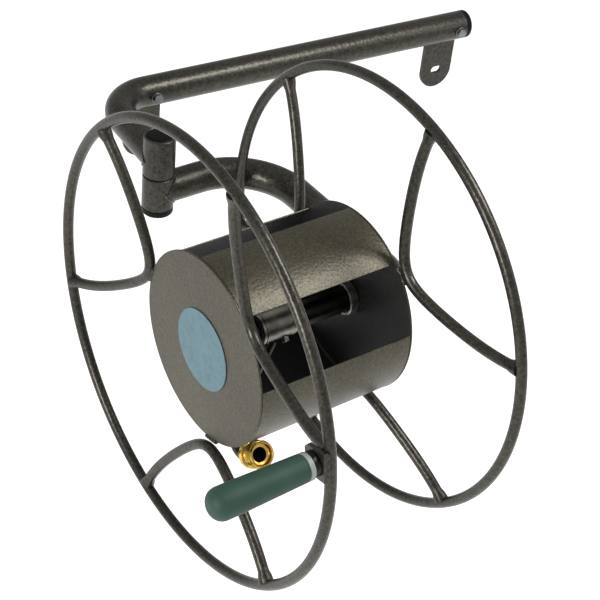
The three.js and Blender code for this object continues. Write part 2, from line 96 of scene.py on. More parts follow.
COUPLING = {"outer_r": 0.0156, "thread_r": 0.0129, "height": 0.021, "floor": 0.0051, "hang": 0.0095}
KNURL = {"ridges": 30, "depth": 0.0004}
OUTLET_THREAD = {"r": 0.0125, "first": -0.0016, "pitch": 0.0024, "turns": 4, "depth": 0.0009}
FIT = 0.0003
TRIM = 0.00006  # keeps the grip inside the CAD's flat-sided one
TUBE_TRIM = 0.00005
ROD_TRIM = 0.00003
BEAD_R = {
    "tube": 0.0015, "tab": 0.0016, "end_plate": 0.0012, "inlet": 0.0013, "spoke": 0.0024, "handle": 0.0016,
}

# Studio: each light's place, size and power, aimed at the object's middle
LIGHTS = {
    "key": ((-2.2, -1.1, 0.7), (0.55, 0.55), 38),
    "side": ((1.7, -1.3, 0.9), (0.5, 0.9), 4),
    "top": ((0.8, -0.9, 1.45), (0.5, 0.5), 20),
}
WORLD_STRENGTH = 0.50
FLOOR = {"drop": 0.55, "half": 9, "glow": 0.48}

# Camera: place, aim and lens
CAMERA_AT = (-0.661125, -1.296166, 0.878255)
CAMERA_RIGHT = Vector((0.85443454, -0.51173291, 0.08983905))
CAMERA_DOWN = Vector((-0.2552067, -0.56399149, -0.78535542))
CAMERA_LENS = 90.461
CAMERA_SENSOR = 36.0


# Frames of the moving bodies, read from the record's joints

def joint(name):
    return next(j for j in frame["record"]["behaviour"]["joints"] if j["name"] == name)


def axes(x, y, z, origin):
    turn = Matrix((x, y, z)).transposed()
    return Matrix.Translation(origin) @ turn.to_4x4()


PIVOT = Vector(joint("swing_pivot")["pos_m"])
ALONG = Vector(joint("reel_spin")["axis"]).normalized()
UP = Vector((0, 0, 1))
BACK = UP.cross(ALONG)
REEL_FRONT = Vector(joint("reel_spin")["pos_m"]) - ALONG * REEL_AXIS["front_rim"]
ROW = Matrix.Identity(4)
SWING = axes(ALONG, BACK, UP, PIVOT)
REEL = axes(-BACK, UP, -ALONG, REEL_FRONT)


def polar(radius, degrees, z=0.0):
    angle = math.radians(degrees)
    return Vector((radius * math.cos(angle), radius * math.sin(angle), z))


def turn_z(degrees):
    return Matrix.Rotation(math.radians(degrees), 4, "Z")


HANDLE_AT = Matrix.Translation(polar(HANDLE["radius"], HANDLE["angle"]))
HANDLE_FRAME = REEL @ HANDLE_AT @ turn_z(HANDLE["angle"])


# Materials

class Nodes:
    """A Principled material and short ways to add nodes to it."""

    def __init__(self, name, roughness, metallic=0.0):
        self.material = bpy.data.materials.new(name)
        self.material.use_nodes = True
        self.tree = self.material.node_tree
        self.shader = self.tree.nodes["Principled BSDF"]
        self.shader.inputs["Roughness"].default_value = roughness
        self.shader.inputs["Metallic"].default_value = metallic
        self.place = self.add("ShaderNodeTexCoord").outputs["Object"]

    def add(self, kind, **settings):
        node = self.tree.nodes.new(kind)
        for key, value in settings.items():
            setattr(node, key, value)
        return node

    def link(self, start, end):
        self.tree.links.new(start, end)

    def noise(self, scale, detail=4.0, roughness=0.55):
        node = self.add("ShaderNodeTexNoise")
        node.inputs["Scale"].default_value = scale
        node.inputs["Detail"].default_value = detail
        node.inputs["Roughness"].default_value = roughness
        self.link(self.place, node.inputs["Vector"])
        return node.outputs["Fac"]

    def cells(self, scale):
        node = self.add("ShaderNodeTexVoronoi", feature="SMOOTH_F1")
        node.inputs["Scale"].default_value = scale
        self.link(self.place, node.inputs["Vector"])
        return node.outputs["Distance"]

    def ramp(self, value, stops):
        node = self.add("ShaderNodeValToRGB")
        elements = node.color_ramp.elements
        while len(elements) < len(stops):
            elements.new(0.5)
        for element, (position, colour) in zip(elements, stops):
            element.position = position
            element.color = (*colour, 1.0)
        self.link(value, node.inputs["Fac"])
        return node.outputs["Color"]

    def spread(self, value, low, high):
        node = self.add("ShaderNodeMapRange")
        node.inputs["To Min"].default_value = low
        node.inputs["To Max"].default_value = high
        self.link(value, node.inputs["Value"])
        return node.outputs["Result"]

    def mix(self, factor, first, second, mode="MIX"):
        node = self.add("ShaderNodeMix", data_type="RGBA", blend_type=mode)
        if isinstance(factor, float):
            node.inputs[0].default_value = factor
        else:
            self.link(factor, node.inputs[0])
        self.link(first, node.inputs[6])
        self.link(second, node.inputs[7])
        return node.outputs[2]

    def bump(self, value, strength, distance, under=None):
        node = self.add("ShaderNodeBump")
        node.inputs["Strength"].default_value = strength
        node.inputs["Distance"].default_value = distance
        self.link(value, node.inputs["Height"])
        if under is not None:
            self.link(under, node.inputs["Normal"])
        return node.outputs["Normal"]

    def finish(self, colour, roughness=None, normal=None):
        self.link(colour, self.shader.inputs["Base Color"])
        if roughness is not None:
            self.link(roughness, self.shader.inputs["Roughness"])
        if normal is not None:
            self.link(normal, self.shader.inputs["Normal"])
        return self.material


def hammertone(name, light, dark, cell, gloss, metallic):
    """Hammered powder coat: shallow dimples a few millimetres across, paler on their ridges."""
    m = Nodes(name, gloss, metallic)
    cells = m.cells(cell)
    fine = m.noise(cell * 2.4, 3.0)
    cloud = m.noise(9.0, 2.0)
    dimples = m.ramp(cells, [(0.12, dark), (0.62, light)])
    speckle = m.ramp(fine, [(0.36, dark), (0.62, light)])
    shade = m.ramp(cloud, [(0.3, dark), (0.7, light)])
    colour = m.mix(0.22, m.mix(0.58, dimples, speckle), shade)
    normal = m.bump(fine, 0.22, 0.0003, m.bump(cells, 0.42, 0.0005))
    return m.finish(colour, m.spread(fine, gloss - 0.08, gloss + 0.12), normal)


def plated(name, light, dark, gloss):
    """Turned and plated metal: fine grain and faint staining."""
    m = Nodes(name, gloss, 1.0)
    stain = m.noise(60.0, 5.0)
    grain = m.noise(900.0, 2.0)
    colour = m.ramp(stain, [(0.35, dark), (0.65, light)])
    sheen = m.spread(stain, gloss - 0.07, gloss + 0.10)
    return m.finish(colour, sheen, m.bump(grain, 0.12, 0.0001))


def moulded(name, light, dark, gloss, shine, grain_scale=1500.0, grain=0.25):
    """Moulded plastic or rubber: a fine grain and an uneven tone. shine is the specular level."""
    m = Nodes(name, gloss)
    m.shader.inputs["Specular IOR Level"].default_value = shine
    cloud = m.noise(40.0, 4.0)
    fine = m.noise(grain_scale, 3.0)
    colour = m.ramp(cloud, [(0.3, dark), (0.7, light)])
    sheen = m.spread(fine, gloss - 0.06, gloss + 0.08)
    return m.finish(colour, sheen, m.bump(fine, grain, 0.0001))


def label_print():
    """Blue vinyl with a worn, mottled ink."""
    m = Nodes("label_vinyl", 0.42)
    mottle = m.noise(140.0, 5.0, 0.65)
    cloud = m.noise(45.0, 3.0)
    ink = m.ramp(mottle, [(0.40, (0.026, 0.072, 0.095)), (0.52, (0.066, 0.140, 0.168))])
    ground = m.ramp(cloud, [(0.3, (0.058, 0.130, 0.160)), (0.7, (0.072, 0.152, 0.183))])
    return m.finish(m.mix(0.35, ground, ink), None, m.bump(cloud, 0.08, 0.0001))


# Each finish: name, light tone, dark tone, then the function's own numbers
PAINT = hammertone("hammertone_coat", (0.068, 0.062, 0.049), (0.008, 0.0075, 0.006), 270.0, 0.32, 0.70)
SHEET = hammertone("drum_coat", (0.088, 0.077, 0.049), (0.012, 0.011, 0.006), 400.0, 0.38, 0.50)
# Painted shade: a near-black copy of the coat for the drum's inner faces and the outlet fitting's bore,
# where shade falls
DRUM_INSIDE_SHADE = hammertone("drum_inside_painted_shade", (0.006, 0.006, 0.005), (0.003, 0.003, 0.003), 500.0, 0.6, 0.0)
BLACK = moulded("black_cap", (0.0035, 0.0035, 0.0035), (0.0022, 0.0022, 0.0022), 0.50, 0.10)
ZINC = plated("zinc_plate", (0.24, 0.25, 0.25), (0.12, 0.13, 0.13), 0.38)
BRASS = plated("machined_brass", (0.80, 0.55, 0.14), (0.50, 0.32, 0.06), 0.24)
NICKEL = plated("nickel_plate", (0.42, 0.40, 0.34), (0.20, 0.19, 0.165), 0.40)
SPINDLE_STEEL = plated("dark_steel", (0.050, 0.048, 0.044), (0.014, 0.014, 0.013), 0.34)
GREEN = moulded("green_grip", (0.020, 0.058, 0.039), (0.014, 0.043, 0.029), 0.60, 0.35, 1100.0, 0.35)
NYLON = moulded("pale_nylon", (0.27, 0.31, 0.275), (0.21, 0.25, 0.22), 0.42, 0.4)
RUBBER = moulded("seal_rubber", (0.008, 0.008, 0.008), (0.005, 0.005, 0.005), 0.60, 0.2)
LABEL = label_print()


# Mesh helpers

def new_mesh(name, points, faces):
    mesh = bpy.data.meshes.new(name)
    mesh.from_pydata([tuple(p) for p in points], [], faces)
    mesh.validate()
    return mesh


def joined(*parts):
    """One (points, faces) pair from several."""
    points, faces = [], []
    for more_points, more_faces in parts:
        start = len(points)
        points.extend(more_points)
        faces.extend(tuple(i + start for i in face) for face in more_faces)
    return points, faces


def moved(part, matrix):
    points, faces = part
    return [matrix @ Vector(p) for p in points], faces


def skin(rings, closed, capped):
    """Quads between rings of points. closed joins the last ring to the first, capped fills the ends."""
    count = len(rings[0])
    points = [p for ring in rings for p in ring]
    faces = []
    pairs = [(i, i + 1) for i in range(len(rings) - 1)]
    if closed:
        pairs.append((len(rings) - 1, 0))
    for a, b in pairs:
        for i in range(count):
            j = (i + 1) % count
            faces.append((a * count + i, a * count + j, b * count + j, b * count + i))
    if capped:
        last = (len(rings) - 1) * count
        faces.append(tuple(reversed(range(count))))
        faces.append(tuple(range(last, last + count)))
    return points, faces


def lathe(profile, sides=72, ripple=None):
    """A body turned about Z from (radius, height) points. ripple(radius, angle) adds to the radius."""
    closed = profile[0] == profile[-1]
    rows = profile[:-1] if closed else profile
    rings = []
    for radius, height in rows:
        ring = []
        for i in range(sides):
            angle = 2 * math.pi * i / sides
            extra = ripple(radius, angle) if ripple else 0.0
            reach = max(radius, 1e-6) + extra
            ring.append(Vector((reach * math.cos(angle), reach * math.sin(angle), height)))
        rings.append(ring)
    return skin(rings, closed, not closed)


def tube_profile(outer_r, bore_r, low, high, soft=0.0006):
    return [
        (bore_r, low + soft), (bore_r + soft, low), (outer_r - soft, low), (outer_r, low + soft),
        (outer_r, high - soft), (outer_r - soft, high), (bore_r + soft, high), (bore_r, high - soft),
        (bore_r, low + soft),
    ]


def sweep(path, radius, sides=24, closed=False):
    """A rod along a path. radius is a number, or a function of (step, angle)."""
    count = len(path)
    normal = None
    rings = []
    for step, point in enumerate(path):
        before = path[step - 1] if step or closed else path[step]
        after = path[(step + 1) % count] if step < count - 1 or closed else path[step]
        tangent = (after - before).normalized()
        if normal is None:
            normal = tangent.orthogonal().normalized()
        normal = (normal - tangent * normal.dot(tangent)).normalized()
        side = tangent.cross(normal)
        ring = []
        for i in range(sides):
            angle = 2 * math.pi * i / sides
            reach = radius(step, angle) if callable(radius) else radius
            ring.append(point + normal * reach * math.cos(angle) + side * reach * math.sin(angle))
        rings.append(ring)
    return skin(rings, closed, not closed)


def bend_path(corners, bends, steps=20):
    """Points along straight runs joined by bends of the given radii."""
    path = [Vector(corners[0])]
    for i in range(1, len(corners) - 1):
        corner = Vector(corners[i])
        inward = (corner - Vector(corners[i - 1])).normalized()
        outward = (Vector(corners[i + 1]) - corner).normalized()
        turn = inward.angle(outward)
        axis = inward.cross(outward).normalized()
        start = corner - inward * bends[i - 1] * math.tan(turn / 2)
        centre = start + axis.cross(inward) * bends[i - 1]
        for k in range(steps + 1):
            path.append(centre + Matrix.Rotation(turn * k / steps, 3, axis) @ (start - centre))
    path.append(Vector(corners[-1]))
    return path


def circle(x, y, radius, steps=40):
    return [Vector((x, y, 0)) + polar(radius, 360 * i / steps) for i in range(steps)]


def level_slot(y, width, height, steps=16):
    """A slot with round ends, centred on x = 0."""
    end = (width - height) / 2
    right = [Vector((end, y, 0)) + polar(height / 2, -90 + 180 * i / steps) for i in range(steps + 1)]
    left = [Vector((-end, y, 0)) + polar(height / 2, 90 + 180 * i / steps) for i in range(steps + 1)]
    return right + left


def extruded(outline, low, high, holes=()):
    """A plate with the given outline in X and Y, and holes given as outlines."""
    curve = bpy.data.curves.new("outline", "CURVE")
    curve.dimensions = "2D"
    curve.fill_mode = "BOTH"
    curve.extrude = (high - low) / 2
    for ring in [outline, *holes]:
        spline = curve.splines.new("POLY")
        spline.points.add(len(ring) - 1)
        for point, place in zip(spline.points, ring):
            point.co = (place[0], place[1], 0, 1)
        spline.use_cyclic_u = True
    holder = bpy.data.objects.new("outline", curve)
    mesh = bpy.data.meshes.new_from_object(holder)
    points = [Vector((v.co.x, v.co.y, v.co.z + (high + low) / 2)) for v in mesh.vertices]
    faces = [tuple(p.vertices) for p in mesh.polygons]
    bpy.data.objects.remove(holder)
    bpy.data.curves.remove(curve)
    bpy.data.meshes.remove(mesh)
    return points, faces


def bead(path, radius, closed=False, seed=0.0):
    """A weld bead with the ripples a hand-fed weld leaves."""
    def reach(step, angle):
        wave = math.sin(step * 1.9 + seed)
        grain = noise.noise(Vector((step * 0.7, seed, angle)))
        return radius * (1 + 0.10 * wave + 0.10 * grain)
    return sweep(path, reach, 10, closed)


def tube_joint(point_at, steps=72):
    """The line where a tube meets a sleeve of its own size. point_at turns an angle into a unit point."""
    return [Vector(point_at(2 * math.pi * i / steps)) * TUBE_R for i in range(steps)]


def piece(name, part, place, body, material, nodes, bevel=0.0, sharp=32):
    """A finished object that rides its body and replaces its CAD nodes."""
    mesh = new_mesh(name, *part)
    mesh.transform(place)
    merge_and_smooth(mesh, sharp)
    obj = bpy.data.objects.new(name, mesh)
    bpy.context.scene.collection.objects.link(obj)
    mesh.materials.append(material)
    if bevel:
        edge = obj.modifiers.new("soft_edges", "BEVEL")
        edge.width = bevel
        edge.segments = 3
        edge.limit_method = "ANGLE"
        edge.angle_limit = math.radians(35)
        edge.harden_normals = True
    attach(obj, body)
    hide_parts(*nodes)
    return obj


def merge_and_smooth(mesh, sharp):
    work = bmesh.new()
    work.from_mesh(mesh)
    bmesh.ops.remove_doubles(work, verts=work.verts, dist=2e-6)
    bmesh.ops.recalc_face_normals(work, faces=work.faces)
    work.to_mesh(mesh)
    work.free()
    mesh.shade_smooth()
    mesh.set_sharp_from_angle(angle=math.radians(sharp))


# Wall bracket

def hex_head(flats, low, high, chamfer=0.0006):
    """A hexagon with its top corners rounded off as on a real bolt."""
    rings = []
    for height, shrink in ((low, 0.0), (high - chamfer, 0.0), (high, 1.0)):
        ring = []
        for i in range(48):
            angle = 2 * math.pi * i / 48
            inside = math.radians(30) - (angle % math.radians(60))
            reach = (flats / 2) / math.cos(inside)
            top = min(reach, flats / 2 - 0.0001)
            reach = reach + (top - reach) * shrink
            ring.append(Vector((reach * math.cos(angle), reach * math.sin(angle), height)))
        rings.append(ring)
    return skin(rings, False, True)


def build_bracket():
    corners = [
        (PIVOT.x, PIVOT.y + 0.0005, WALL_TUBE["z"]),
        (PIVOT.x, WALL_TUBE["y"], WALL_TUBE["z"]),
        (WALL_TUBE["right"], WALL_TUBE["y"], WALL_TUBE["z"]),
    ]
    tube = sweep(bend_path(corners, [WALL_TUBE["bend"]]), TUBE_R - TUBE_TRIM, 48)
    joint_line = tube_joint(lambda t: (math.cos(t), abs(math.sin(t)), math.sin(t)))
    start = Vector((PIVOT.x, PIVOT.y, WALL_TUBE["z"]))
    weld = bead([point + start for point in joint_line], BEAD_R["tube"], True, 1.3)
    piece("wall_tube_look", joined(tube, weld), ROW, "wall_bracket", PAINT, ["wall_tube"])
    sleeve_place = Matrix.Translation((PIVOT.x, PIVOT.y, 0))
    sleeve = lathe(tube_profile(TUBE_R, SLEEVE_BORE_R, *UPPER_SLEEVE))
    piece("bracket_sleeve_look", sleeve, sleeve_place, "wall_bracket", PAINT,
          ["bracket_sleeve"])
    plug = [
        (0, 0.0615), (0.0134, 0.0615), (0.0134, 0.0650), (0.0128, 0.0657), (0.0118, 0.0661),
        (0.006, 0.0663), (0, 0.0664),
    ]
    piece("sleeve_top_plug_look", lathe(plug), sleeve_place, "wall_bracket", BLACK,
          ["sleeve_top_plug"])
    for side, x in zip(("left", "right"), TAB_X):
        build_tab(side, x)
        build_bolt(side, x)
    turn = Matrix.Rotation(math.pi / 2, 4, "Y")
    place = Matrix.Translation((WALL_TUBE["right"], WALL_TUBE["y"], WALL_TUBE["z"])) @ turn
    piece("wall_tube_end_cap_look", lathe(cap_profile()), place,
          "wall_bracket", BLACK, ["wall_tube_end_cap"])


def cap_profile():
    """A cap with a tapered plug below and a softly domed flange above."""
    flange = END_CAP["flange"]
    plug = END_CAP["plug"]
    plug_r = END_CAP["plug_r"]
    return [
        (0, -plug), (plug_r - 0.0008, -plug), (plug_r, -plug + 0.002), (plug_r, FIT),
        (TUBE_R - 0.0001, FIT), (TUBE_R - 0.0001, flange - 0.0017), (TUBE_R - 0.0004, flange - 0.0009),
        (TUBE_R - 0.0010, flange - 0.0003), (TUBE_R - 0.0018, flange), (0.008, flange + 0.0004),
        (0, flange + 0.0006),
    ]


def build_tab(side, x):
    half = TAB["width"] / 2
    centre = TAB["bottom"] + half
    foot = [polar(half, 180 + 180 * i / 40) + Vector((0, centre, 0)) for i in range(41)]
    outline = foot + [Vector((half, TAB["top"], 0)), Vector((-half, TAB["top"], 0))]
    slot = level_slot(SLOT["z"], SLOT["width"], SLOT["height"])
    part = extruded(outline, 0, TAB["thickness"], [slot])
    reach = half - 0.004
    seam = [
        Vector((-reach + 0.002 * i, WALL_TUBE["z"] - 0.011, 0.0052))
        for i in range(int(reach / 0.001) + 1)
    ]
    weld = bead(seam, BEAD_R["tab"], False, x)
    place = Matrix.Translation((x, 0, 0)) @ Matrix.Rotation(math.pi / 2, 4, "X")
    piece(f"wall_tab_{side}_look", joined(part, weld), place, "wall_bracket", PAINT,
          [f"wall_tab_{side}"], 0.0005)


def build_bolt(side, x):
    front = WALL_TUBE["y"] - TUBE_R - FIT
    face = lathe([
        (0, 0), (BOLT["face_r"], 0), (BOLT["face_r"], BOLT["face"] - 0.0004),
        (BOLT["face_r"] - 0.0006, BOLT["face"]), (0, BOLT["face"]),
    ])
    head = hex_head(BOLT["flats"], BOLT["face"], BOLT["face"] + BOLT["head"])
    place = Matrix.Translation((x, front, WALL_TUBE["z"])) @ Matrix.Rotation(math.pi / 2, 4, "X")
    piece(f"tab_bolt_{side}_look", joined(face, head), place, "wall_bracket", ZINC,
          [f"tab_bolt_{side}"], 0.0002)


# Swing arm

def build_arm():
    corners = [
        (0.0005, 0, 0), (ARM["reach"], 0, 0),
        (ARM["reach"], REEL_AXIS["y"], 0), (ARM["end"], REEL_AXIS["y"], 0),
    ]
    tube = sweep(bend_path(corners, [ARM["bend"], ARM["last_bend"]]), TUBE_R - TUBE_TRIM, 48)
    joint_line = tube_joint(lambda t: (abs(math.sin(t)), math.cos(t), math.sin(t)))
    weld = bead(joint_line, BEAD_R["tube"], True, 4.1)
    piece("arm_tube_look", joined(tube, weld), SWING, "swing_arm", PAINT, ["arm_tube"])
    sleeve = lathe(tube_profile(TUBE_R, SLEEVE_BORE_R, *LOWER_SLEEVE))
    piece("arm_sleeve_look", sleeve, SWING, "swing_arm", PAINT, ["arm_sleeve"])
    flip = Matrix.Translation((0, 0, LOWER_SLEEVE[0])) @ Matrix.Rotation(math.pi, 4, "X")
    cap = lathe(cap_profile())
    piece("sleeve_bottom_cap_look", cap, SWING @ flip, "swing_arm", BLACK,
          ["sleeve_bottom_cap"])
    low = LOWER_SLEEVE[1] + FIT
    high = UPPER_SLEEVE[0] - FIT
    washer = lathe(tube_profile(TUBE_R - 0.0008, 0.0103, low, high, 0.0002))
    piece("pivot_washer_look", washer, SWING, "swing_arm", BLACK, ["pivot_washer"])
    build_end_plate()
    build_inlet()
    rear = REEL_AXIS["front_rim"] + ARM["end"] - END_PLATE["thickness"] - 2 * FIT
    shaft = lathe(tube_profile(SPINDLE["r"], SPINDLE["bore_r"], -rear, -SPINDLE["front"]))
    piece("spindle_pipe_look", shaft, REEL, "swing_arm", SPINDLE_STEEL, ["spindle_pipe"])


def build_end_plate():
    thickness = END_PLATE["thickness"]
    radius = TUBE_R + END_PLATE["margin"]
    top = [polar(radius, 180 * i / 36) + Vector((0, REEL_AXIS["z"], 0)) for i in range(37)]
    foot = [polar(radius, 180 + 180 * i / 36) for i in range(37)]
    part = extruded(top + foot, 0, thickness, [circle(0, 0.004, END_PLATE["bore_r"])])
    ring = [polar(TUBE_R + 0.0002, 360 * i / 60, thickness + 0.0008) for i in range(60)]
    weld = bead(ring, BEAD_R["end_plate"], True, 2.2)
    stand = Matrix.Rotation(math.pi / 2, 4, "Z") @ Matrix.Rotation(math.pi / 2, 4, "X")
    place = SWING @ Matrix.Translation((ARM["end"] - thickness - FIT, REEL_AXIS["y"], 0)) @ stand
    piece("spindle_end_plate_look", joined(part, weld), place, "swing_arm", PAINT,
          ["spindle_end_plate"], 0.0004)


def build_inlet():
    place = SWING @ Matrix.Translation((ARM["reach"], INLET["y"], 0)) @ Matrix.Rotation(math.pi, 4, "X")
    r = INLET["pipe_r"]
    bore = r - INLET["wall"]
    top = INLET["top"]
    drop = INLET["drop"]
    lip = r + INLET_LIP["reach"]
    lip_top = drop - INLET_LIP["height"]
    soft = 0.0004
    pipe = [
        (bore, top), (r, top), (r, lip_top), (lip - soft, lip_top), (lip, lip_top + soft),
        (lip, drop - soft), (lip - soft, drop), (bore, drop), (bore, top),
    ]
    collar = [
        Vector((math.cos(t) * r, math.sin(t) * r, math.sqrt(TUBE_R ** 2 - (math.cos(t) * r) ** 2)))
        for t in (2 * math.pi * i / 48 for i in range(48))
    ]
    stub = joined(lathe(pipe), bead(collar, BEAD_R["inlet"], True, 0.7))
    piece("inlet_pipe_look", stub, place, "swing_arm", NICKEL, ["inlet_pipe"])

    outer = COUPLING["outer_r"]
    thread = COUPLING["thread_r"]
    low = drop - COUPLING["hang"]
    high = low + COUPLING["height"]
    floor = low + COUPLING["floor"]
    neck = r + 0.0005
    nut = [
        (neck, low), (outer - 0.0016, low), (outer - 0.0006, low + 0.0006), (outer, low + 0.002),
        (outer, high - 0.0025), (outer - 0.0008, high - 0.0005), (outer - 0.0014, high), (thread, high),
        (thread, floor), (neck, floor), (neck, low),
    ]

    def knurl(radius, angle):
        on_side = radius > outer - 0.0001
        return KNURL["depth"] * math.cos(angle * KNURL["ridges"]) if on_side else 0.0
    piece("inlet_coupling_look", lathe(nut, 240, knurl), place, "inlet_coupling", BRASS,
          ["inlet_coupling"])


# Reel

def rim(z):
    path = [polar(RIM_R, 360 * i / 240, z) for i in range(240)]
    return sweep(path, ROD_R - ROD_TRIM, 24, True)


def spoke_path(centre, dish, extra_root, extra_spread, steps=72):
    """Half of a long oval: in from the rim, round close to the drum, and back out."""
    root = DRUM_R + ROD_R + FIT + extra_root
    weld_r = RIM_R - ROD_R * 0.55
    limit = math.acos((RIM_R - weld_r) / (RIM_R - root))
    path = []
    for i in range(steps + 1):
        phase = (2 * i / steps - 1) * limit
        radius = RIM_R - (RIM_R - root) * math.cos(phase)
        angle = centre + (SPOKES["half_spread"] + extra_spread) * math.sin(phase)
        path.append(polar(radius, angle, dish * math.cos(phase)))
    return path


def spoke(centre, dish, seed, extra_root=0.0, extra_spread=0.0):
    """A bent rod that thickens into a weld at the rim, with a bead where it meets the disc."""
    path = spoke_path(centre, dish, extra_root, extra_spread)
    ends = (path[0], path[-1])

    def reach(step, angle):
        near = min((path[step] - end).length for end in ends)
        lump = 1 + 0.25 * noise.noise(Vector((math.cos(angle) * 2, math.sin(angle) * 2, step + seed)))
        swell = math.exp(-(max(near - 0.003, 0) / 0.0034) ** 2)
        return ROD_R - ROD_TRIM + 0.0019 * lump * swell
    seat = math.copysign(DISC["inset"] + DISC["thickness"] / 2, dish)
    weld = [polar(DRUM_R + 0.0006, centre - 5 + 10 * i / 14, seat) for i in range(15)]
    return joined(sweep(path, reach, 20), bead(weld, BEAD_R["spoke"], False, seed))


def paint_shade_on(obj, place, inner_side):
    """Puts the near-black painted shade on the faces where inner_side(centre, normal) holds, in the axes
    of place.
    """
    obj.data.materials.append(DRUM_INSIDE_SHADE)
    home = place.inverted()
    turn = home.to_3x3()
    for face in obj.data.polygons:
        if inner_side(home @ face.center, turn @ face.normal):
            face.material_index = 1


def drum_piece(name, part, node, inner_side):
    obj = piece(name, part, REEL, "reel", SHEET, [node], 0.0004)
    paint_shade_on(obj, REEL, inner_side)


def disc_part(low, high, bore_r):
    soft = 0.0004
    if bore_r:
        return lathe(tube_profile(DRUM_R, bore_r, low, high, soft), 144)
    return lathe([
        (0, low), (DRUM_R - soft, low), (DRUM_R, low + soft),
        (DRUM_R, high - soft), (DRUM_R - soft, high), (0, high),
    ], 144)


def slat_part(centre):
    outer = DRUM_R - 0.0002
    inner = outer - SLATS["thickness"]
    steps = 36
    half = SLATS["half_angle"]
    angles = [centre - half + 2 * half * i / steps for i in range(steps + 1)]
    outline = [polar(outer, a) for a in angles] + [polar(inner, a) for a in reversed(angles)]
    front = -(DISC["inset"] + DISC["thickness"]) - FIT
    rear = -(RIM_SPACING - DISC["inset"] - DISC["thickness"]) + FIT
    rings = [[Vector((p.x, p.y, z)) for p in outline] for z in (rear, front)]
    return skin(rings, False, True)


def build_spokes(side, z, dish):
    for i in range(SPOKES["count"]):
        centre = SPOKES["first"] + 360 * i / SPOKES["count"]
        if side == "front" and i == 2:
            low = LOW_SPOKE
            part = spoke(centre + low["turn"], low["dish"], i, low["root"], low["spread"])
        else:
            part = spoke(centre, dish, i + z * 10)
        node = f"{side}_spoke_{i + 1}"
        part = moved(part, Matrix.Translation((0, 0, z)))
        piece(f"{node}_look", part, REEL, "reel", PAINT, [node])


def build_drum(front_inner, rear_inner):
    front_disc = disc_part(front_inner, -DISC["inset"], 0)
    # The inner faces of the discs and slats get the painted shade
    drum_piece("front_disc_look", front_disc, "front_disc", lambda at, normal: normal.z < -0.7)
    rear_disc = disc_part(rear_inner - DISC["thickness"], rear_inner, COLLAR["bore_r"])
    drum_piece("rear_disc_look", rear_disc, "rear_disc", lambda at, normal: normal.z > 0.7)
    for i in range(SLATS["count"]):
        slat = slat_part(SLATS["first"] + 360 * i / SLATS["count"])
        drum_piece(f"drum_slat_{i + 1}_look", slat, f"drum_slat_{i + 1}",
                   lambda at, normal: Vector((at.x, at.y, 0)).normalized().dot(normal) < -0.5)


def build_reel():
    dishes = (("front", 0.0, SPOKES["front_dish"]), ("rear", -RIM_SPACING, SPOKES["rear_dish"]))
    for side, z, dish in dishes:
        piece(f"{side}_rim_look", rim(z), REEL, "reel", PAINT, [f"{side}_rim"])
        build_spokes(side, z, dish)
    front_inner = -(DISC["inset"] + DISC["thickness"])
    rear_inner = -(RIM_SPACING - DISC["inset"] - DISC["thickness"])
    build_drum(front_inner, rear_inner)
    bearings = (
        ("front", front_inner - BEARINGS["front"], front_inner - FIT),
        ("rear", rear_inner + FIT, rear_inner + BEARINGS["rear"]),
    )
    for side, low, high in bearings:
        collar = lathe(tube_profile(COLLAR["outer_r"], COLLAR["bore_r"], low, high, 0.0008))
        piece(f"{side}_bearing_look", collar, REEL, "reel", NICKEL, [f"{side}_bearing"])
    sticker = lathe([
        (0, 0), (LABEL_R - 0.0001, 0), (LABEL_R, 0.0001), (LABEL_R, LABEL_THICKNESS - 0.00015),
        (LABEL_R - 0.0002, LABEL_THICKNESS), (0, LABEL_THICKNESS),
    ], 96)
    place = REEL @ Matrix.Translation((0, 0, -DISC["inset"] + FIT))
    piece("front_label_look", sticker, place, "reel", LABEL, ["front_label"])


# Water way

def build_swivel():
    front = -SWIVEL["front"]
    rear = -SWIVEL["rear"]
    outer = SWIVEL["outer_r"]
    bore = SWIVEL["bore_r"]
    seal = SWIVEL["seal"]
    body = [
        (bore, rear), (outer - 0.0005, rear), (outer, rear + 0.0005), (outer, rear + 0.004),
        (outer - 0.0009, rear + 0.005), (outer - 0.0009, front - 0.0070), (outer - 0.0003, front - 0.0066),
        (outer, front - 0.0060), (outer, front - 0.0042), (outer - 0.0008, front - 0.0038),
        (outer - 0.0008, front - 0.0030), (outer, front - 0.0026), (outer, front - 0.0005),
        (outer - 0.0005, front), (bore, front), (bore, rear),
    ]
    piece("swivel_body_look", lathe(body), REEL, "reel", NICKEL, ["swivel_body"])
    for side, low in (("front", front + FIT), ("rear", rear - seal - FIT)):
        ring = lathe(tube_profile(outer - 0.0006, bore, low, low + seal, 0.0008))
        piece(f"swivel_seal_{side}_look", ring, REEL, "reel", RUBBER, [f"swivel_seal_{side}"])
    foot = polar(outer - 0.0009 + FIT, SET_SCREW["angle"], -SET_SCREW["depth"])
    stand = turn_z(SET_SCREW["angle"]) @ Matrix.Rotation(math.pi / 2, 4, "Y")
    head = hex_head(SET_SCREW["flats"], 0, SET_SCREW["height"], 0.0004)
    place = REEL @ Matrix.Translation(foot) @ stand
    piece("swivel_set_screw_look", head, place, "reel", ZINC, ["swivel_set_screw"], 0.0002)


